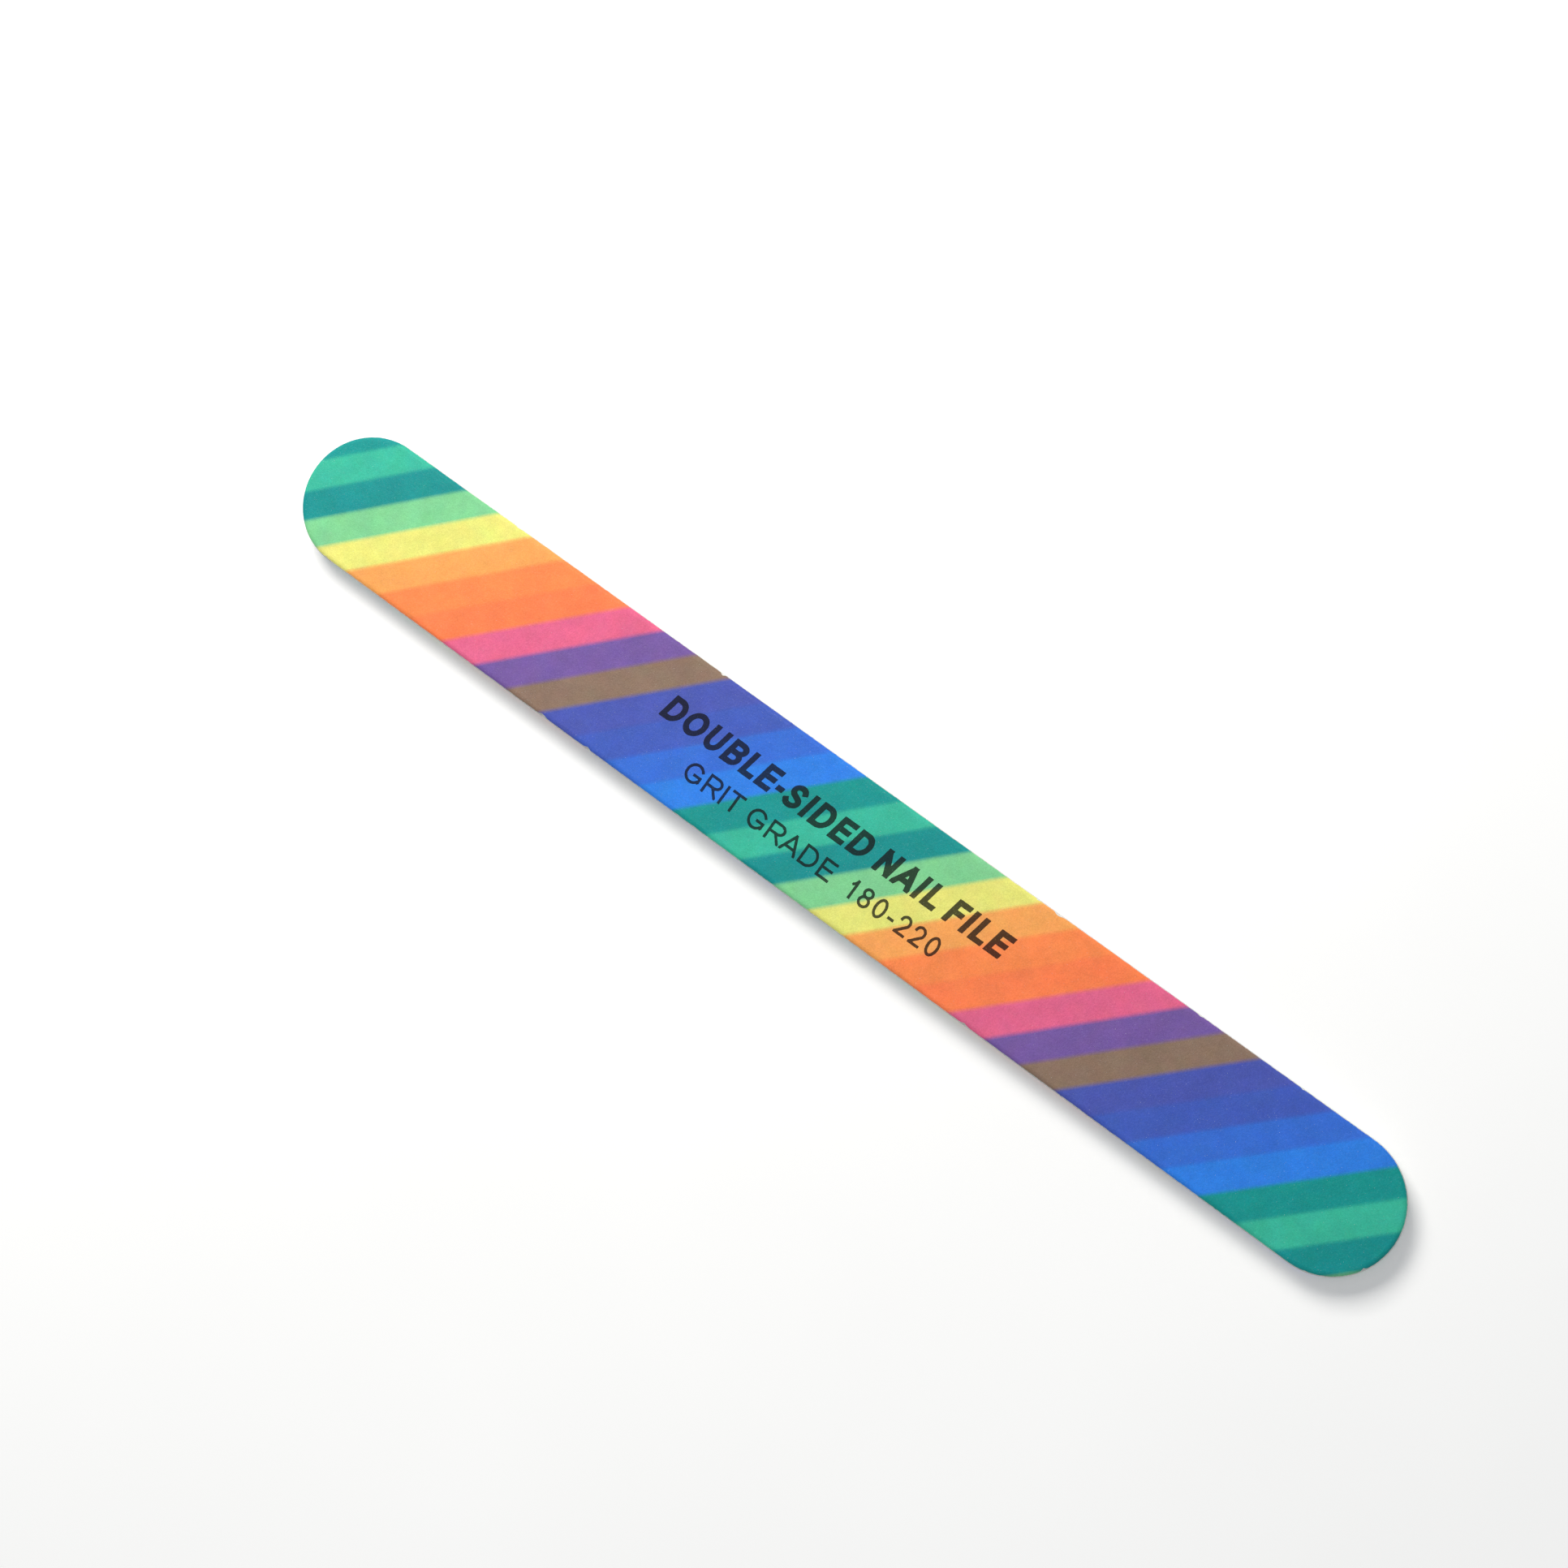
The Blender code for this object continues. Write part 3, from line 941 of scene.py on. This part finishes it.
# %% Strokes of the pen
def stroke_distance(x, y, path, pen, closed):
    """Distance from points to a pen stroke's outline, negative inside.

    Formula: for each straight bit of the path, the distance to the bit less half the pen's width.
    Bits meet roundly, but an open path ends squarely: there the distance is the larger of the one
    across the bit and the one past its end. The smallest value over all bits counts.
    """
    nearest = np.full(x.shape, np.inf)
    bits = len(path) - 1
    for number, (start, end) in enumerate(zip(path, path[1:])):
        length = math.dist(start, end)
        along_x, along_y = (end[0] - start[0]) / length, (end[1] - start[1]) / length
        along = (x - start[0]) * along_x + (y - start[1]) * along_y
        across = np.abs((y - start[1]) * along_x - (x - start[0]) * along_y)
        past = np.maximum(-along, along - length)
        round_end = np.hypot(np.maximum(past, 0.0), across) - pen / 2
        square_end = np.maximum(across - pen / 2, past)
        before = -along > along - length
        open_end = (before & (number == 0)) | (~before & (number == bits - 1))
        nearest = np.minimum(nearest, np.where(open_end & (not closed), square_end, round_end))
    return nearest


def arc(middle_x, middle_y, reach_x, reach_y, start, end):
    """Points along an ellipse from one angle to another, in degrees, a point every 9 or so."""
    angles = np.radians(np.linspace(start, end, max(3, round(abs(end - start) / 9) + 1)))
    return list(zip(middle_x + reach_x * np.cos(angles), middle_y + reach_y * np.sin(angles)))


def bowl(bottom, top, bend):
    """A stroke that leaves the stem, rounds to the right and comes back, as in B, D and R."""
    middle, reach = (bottom + top) / 2, (top - bottom) / 2
    return [(0, bottom), *arc(bend, middle, 1 - bend, reach, -90, 90), (0, top)]


# %% [markdown]
# Each letter is written in a box that runs from 0 to 1 both ways, through the middle of its strokes.
# The same letters then serve for the bold and the light line, because the pen's width is added
# afterwards. A letter needs its width as a share of its height, and the room beside it, which is
# smaller where the letter is round or slants away.

# %% The alphabet that the two lines need
STEM = [(0, 0), (0, 1)]
LETTERS = {                                   # width, room at left, room at right, strokes
    "A": (0.92, 0.00, 0.00, [[(0, 0), (0.5, 1), (1, 0)], [(0.5, 0.9), (0.5, 1)],
                             [(0.2, 0.28), (0.8, 0.28)]]),
    "B": (0.80, 0.10, 0.06, [STEM, bowl(0, 0.53, 0.55), bowl(0.53, 1, 0.50)]),
    "D": (0.86, 0.10, 0.06, [STEM, bowl(0, 1, 0.42)]),
    "E": (0.74, 0.10, 0.05, [STEM, [(0, 0), (1, 0)], [(0, 0.52), (0.92, 0.52)], [(0, 1), (1, 1)]]),
    "F": (0.68, 0.10, 0.03, [STEM, [(0, 0.5), (0.9, 0.5)], [(0, 1), (1, 1)]]),
    "G": (0.92, 0.06, 0.08, [arc(0.52, 0.5, 0.52, 0.5, 38, 322) + [(0.98, 0.16)],
                             [(1, 0.22), (1, 0.43)], [(0.58, 0.43), (1, 0.43)]]),
    "I": (0.00, 0.10, 0.10, [STEM]),
    "L": (0.66, 0.10, 0.02, [STEM, [(0, 0), (1, 0)]]),
    "N": (0.80, 0.10, 0.10, [STEM, [(0, 1), (1, 0)], [(1, 0), (1, 1)]]),
    "O": (0.96, 0.06, 0.06, [arc(0.5, 0.5, 0.5, 0.5, 0, 360)]),
    "R": (0.84, 0.10, 0.01, [STEM, bowl(0.46, 1, 0.60), [(0.52, 0.46), (1, 0)]]),
    "S": (0.78, 0.06, 0.06, [arc(0.5, 0.765, 0.44, 0.235, 22, 242)
                             + arc(0.5, 0.235, 0.5, 0.235, 62, -158)]),
    "T": (0.78, 0.03, 0.03, [[(0.5, 0), (0.5, 1)], [(0, 1), (1, 1)]]),
    "U": (0.80, 0.10, 0.10, [[(0, 1), *arc(0.5, 0.38, 0.5, 0.38, 180, 360), (1, 1)]]),
    "-": (0.34, 0.06, 0.06, [[(0, 0.36), (1, 0.36)]]),
    " ": (0.22, 0.03, 0.03, []),
    "0": (0.62, 0.07, 0.07, [arc(0.5, 0.5, 0.5, 0.5, 0, 360)]),
    "1": (0.30, 0.12, 0.18, [[(1, 0), (1, 1)], [(0, 0.74), (0.6, 0.84), (0.95, 1)]]),
    "2": (0.62, 0.07, 0.07, [arc(0.48, 0.70, 0.48, 0.30, 170, -28) + [(0.04, 0.02)],
                             [(0, 0), (1, 0)]]),
    "8": (0.62, 0.07, 0.07, [arc(0.5, 0.77, 0.44, 0.23, 0, 360), arc(0.5, 0.27, 0.5, 0.27, 0, 360)]),
}
print("letters:", "".join(LETTERS))

# %% [markdown]
# A lattice of small squares covers each letter. Squares inside the outline stay, and the corners at
# the border slide onto it: one step of Newton's method along the slope of the distance. What results
# is an even, bendable sheet. It is draped on the same relief as the coat and given a thickness.
#
# The ink isn't quite opaque. The bands show through faintly, which is why the same `banded_ink`
# appears again, nearly black.

# %% From strokes to ink
INK_RISE = 0.014 * MM                         # height of the ink over the coat
INK_THICKNESS = 0.030 * MM
INK_FRAY = 0.035 * MM
INK_BLACK = (0.006, 0.006, 0.007, 1.0)
INK_SHEEN = 0.10


def letter_grid(strokes, width, height, pen, mesh_size, left, baseline, lean):
    """Corners and squares of one letter. Formula: keep squares whose mean distance is negative;
    move each corner on their border by -distance * slope / slope squared; then lean and place."""
    margin = 2 * mesh_size
    across = np.arange(-margin, width + pen + margin, mesh_size)
    upward = np.arange(-margin, height + margin, mesh_size)
    x, y = np.meshgrid(across, upward, indexing="ij")
    distance = np.full(x.shape, np.inf)
    for stroke in strokes:
        path = [(pen / 2 + s * width, pen / 2 + t * (height - pen)) for s, t in stroke]
        closed = stroke[0] != stroke[-1] and math.dist(path[0], path[-1]) < 0.01 * pen
        if not closed:
            path = [end_moved(path[1], path[0], stroke[0], pen), *path[1:-1],
                    end_moved(path[-2], path[-1], stroke[-1], pen)]
        distance = np.minimum(distance, stroke_distance(x, y, path, pen, closed))
    box = np.maximum(np.maximum(-y, y - height), np.maximum(-x, x - width - pen))
    distance = np.maximum(distance, box)
    place_x, place_y = x + left + lean * y, y + baseline
    distance += INK_FRAY * hills(place_x, place_y, 0.17 * MM, 161) * 0.5
    squares = (distance[:-1, :-1] + distance[1:, :-1] + distance[1:, 1:] + distance[:-1, 1:]) < 0
    touched, full = np.zeros(x.shape, int), np.full(x.shape, 4)
    for dx, dy in ((0, 0), (1, 0), (1, 1), (0, 1)):
        touched[dx:dx + squares.shape[0], dy:dy + squares.shape[1]] += squares
    border = (touched > 0) & (touched < full)
    slope_x, slope_y = np.gradient(distance, mesh_size)
    steepness = np.maximum(slope_x ** 2 + slope_y ** 2, 0.25)
    limit = 0.7 * mesh_size
    x = x - np.where(border, np.clip(distance * slope_x / steepness, -limit, limit), 0.0)
    y = y - np.where(border, np.clip(distance * slope_y / steepness, -limit, limit), 0.0)
    number = np.arange(x.size).reshape(x.shape)
    quads = np.stack([number[:-1, :-1], number[1:, :-1], number[1:, 1:], number[:-1, 1:]], axis=-1)
    points = np.stack([x + left + lean * y, y + baseline], axis=-1).reshape(-1, 2)
    kept, quads = np.unique(quads[squares], return_inverse=True)
    return points[kept], quads.reshape(-1, 4)


def end_moved(before, end, corner, pen):
    """The end of an open stroke, moved outwards so that its square cut reaches the letter's edge.

    Formula: by half a pen along an upright, level or curved stroke; by a whole pen where a long
    slanting one meets the letter's border, which trims it; not at all where it meets a stroke.
    """
    last_bit = Vector(end) - Vector(before)
    slants = min(abs(last_bit.x), abs(last_bit.y)) > 1e-6 and last_bit.length > pen
    on_border = min(corner[0], corner[1], 1 - corner[0], 1 - corner[1]) < 1e-6
    extra = pen / 2 if not slants else pen if on_border else 0.0
    return tuple(Vector(end) + last_bit.normalized() * extra)


def ink_finish(name):
    """Black ink over the bands, thinner where it has run off a grain."""
    recipe = Recipe(name)
    cover = recipe.step(recipe.noise(0.14 * MM, 1.0, 0.8), 0.60, 0.80, 0.92, 0.74)
    colour = recipe.mix(cover, banded_ink(recipe, 1), INK_BLACK)
    recipe.bump(recipe.noise(0.12 * MM, 2.0, 0.7), 0.02 * MM)
    return recipe.finish(Base_Color=colour, Roughness=0.60, Specular_IOR_Level=INK_SHEEN)


def print_line(name, words, start, end, ink, height, baseline, pen, condense, lean, mesh_size):
    """One printed line from start to end along the file, in a style of lettering. The letters'
    widths follow from their height; what is left over is shared out between them."""
    kinds = [LETTERS[letter] for letter in words]
    widths = [max(kind[0] * height * condense - pen, 0.0) for kind in kinds]
    rooms = [(kind[1] * height * condense, kind[2] * height * condense) for kind in kinds]
    natural = sum(widths) + pen * len(words) + sum(map(sum, rooms)) - rooms[0][0] - rooms[-1][1]
    spare = (end - start - lean * height - natural) / (len(words) - 1)
    points, quads, count, pen_place = [], [], 0, start - rooms[0][0]
    for kind, width, (before, after) in zip(kinds, widths, rooms):
        pen_place += before
        if kind[3]:
            corners, squares = letter_grid(kind[3], width, height, pen, mesh_size, pen_place,
                                           baseline, lean)
            points.append(corners)
            quads.append(squares + count)
            count += len(corners)
        pen_place += width + pen + after + spare
    flat = np.concatenate(points)
    relief = grit_relief(flat[:, 0], flat[:, 1], RELIEF_SEED["upper"])
    top = CORE_MIDDLE + SURFACE["upper"] + relief + INK_RISE
    mesh = bpy.data.meshes.new(name)
    mesh.from_pydata(np.column_stack([flat, top]).tolist(), [], np.concatenate(quads).tolist())
    line = bpy.data.objects.new(name, mesh)
    bpy.context.scene.collection.objects.link(line)
    film = line.modifiers.new("ink_thickness", "SOLIDIFY")
    film.thickness = INK_THICKNESS
    film.offset = -1.0
    mesh.materials.append(ink)
    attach(line, "root")
    print(f"{name}: {len(mesh.polygons)} squares, spare room {spare / MM:.3f} mm a letter")
    return line


screen_ink = ink_finish("screen_ink")
BOLD = {"height": 3.58 * MM, "baseline": -0.03 * MM, "pen": 0.78 * MM, "condense": 0.90,
        "lean": 0.19, "mesh_size": 0.075 * MM}
LIGHT = {"height": 2.83 * MM, "baseline": -5.03 * MM, "pen": 0.39 * MM, "condense": 1.0,
         "lean": 0.0, "mesh_size": 0.055 * MM}
TITLE_END, GRADE_END = 28.36 * MM, 20.8 * MM  # both lines are centred on the file
WORD_GAP = (3.7 * MM, 6.45 * MM)              # before the grit numbers
print_line("print_title", "DOUBLE-SIDED NAIL FILE", -TITLE_END, TITLE_END, screen_ink, **BOLD)
print_line("print_grade_word", "GRIT GRADE", -GRADE_END, WORD_GAP[0], screen_ink, **LIGHT)
print_line("print_grade_numbers", "180-220", WORD_GAP[1], GRADE_END, screen_ink, **LIGHT)

# %% [markdown]
# ## Floor
#
# The file lies on a plain pale table. A trace of grain in its finish keeps it from looking like a
# cut-out, and it is not part of the file.

# %% Table top
FLOOR_GLOW = 0.17                             # a light table: keeps the floor white past the light


def floor_finish():
    """Pale matte paint with barely visible clouds."""
    recipe = Recipe("pale_table")
    clouds = recipe.step(recipe.noise(0.05, 3.0), 0.3, 0.7, 0.985, 1.0)
    return recipe.finish(Base_Color=recipe.scaled((0.90, 0.90, 0.90, 1.0), clouds), Roughness=0.75,
                         Emission_Color=(1.0, 1.0, 1.0, 1.0), Emission_Strength=FLOOR_GLOW)


FLOOR_REACH = 4.0                             # metres from the middle to each border
file_low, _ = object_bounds()                     # the file rests on its proudest grains
corners = [(-1, -1), (1, -1), (1, 1), (-1, 1)]
floor_mesh = bpy.data.meshes.new("table_top")
floor_mesh.from_pydata([(x * FLOOR_REACH, y * FLOOR_REACH, file_low.z) for x, y in corners], [],
                       [(0, 1, 2, 3)])
floor_mesh.materials.append(floor_finish())
floor = bpy.data.objects.new("table_top", floor_mesh)
bpy.context.scene.collection.objects.link(floor)

# %% Sizes, and the end
print("plain box ", [round(value / MM, 3) for value in cad_high - cad_low], "mm")
